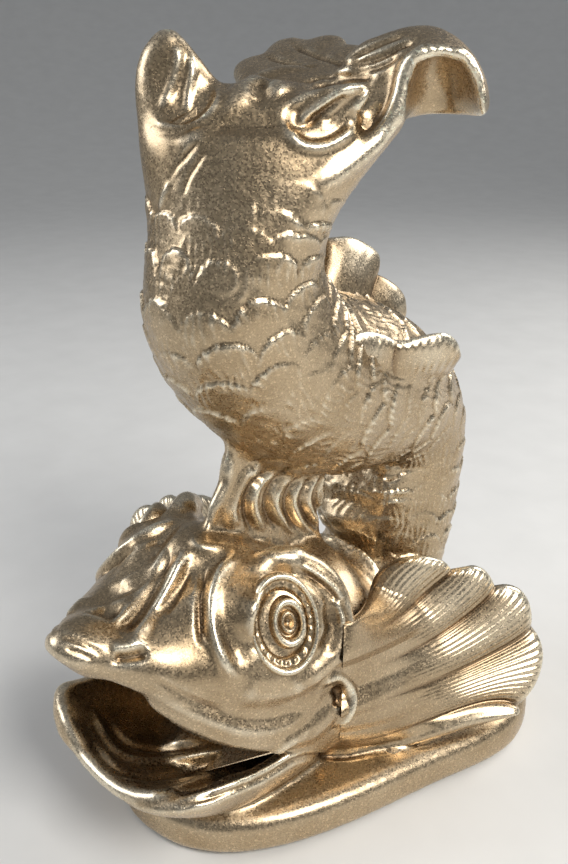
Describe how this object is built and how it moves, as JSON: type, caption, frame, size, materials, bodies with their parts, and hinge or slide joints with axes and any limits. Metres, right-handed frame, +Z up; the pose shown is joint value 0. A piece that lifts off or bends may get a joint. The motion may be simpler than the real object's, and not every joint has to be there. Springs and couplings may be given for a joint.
{
  "type": "fish figurine",
  "caption": "Gold-painted baroque fish figurine lying chin down on a low plinth, its body looped over the head into a curled leafy tail.",
  "frame": {"origin": "on the resting plane under the figurine, on the middle line of the head and body", "axes": "+Z is up, -Y is towards the snout, +X is the fish's own left side"},
  "size_m": [0.1293, 0.1455, 0.1988],
  "materials": {
    "gold_paint": "metallic flake gold paint, satin, with darker recesses",
    "felt": "pressed felt",
    "dowel_brass": "drawn rod"
  },
  "bodies": {
    "root": {"felt_pad": "felt", "base_plinth": "gold_paint", "lower_jaw": "gold_paint", "tongue": "gold_paint", "head": "gold_paint", "eye_left": "gold_paint", "eye_right": "gold_paint", "mouth_curl_left": "gold_paint", "mouth_curl_right": "gold_paint", "crest": "gold_paint", "pectoral_fin_left": "gold_paint", "pectoral_fin_right": "gold_paint", "body_column": "gold_paint", "body_loop": "gold_paint", "tail_stem": "gold_paint", "column_dowel": "dowel_brass", "loop_dowel": "dowel_brass", "stem_dowel": "dowel_brass", "pelvic_fin_left": "gold_paint", "pelvic_fin_right": "gold_paint", "tail_crown": "gold_paint", "tail_lobe_left": "gold_paint", "tail_lobe_right": "gold_paint", "tail_lobe_back": "gold_paint"}
  },
  "joints": []
}
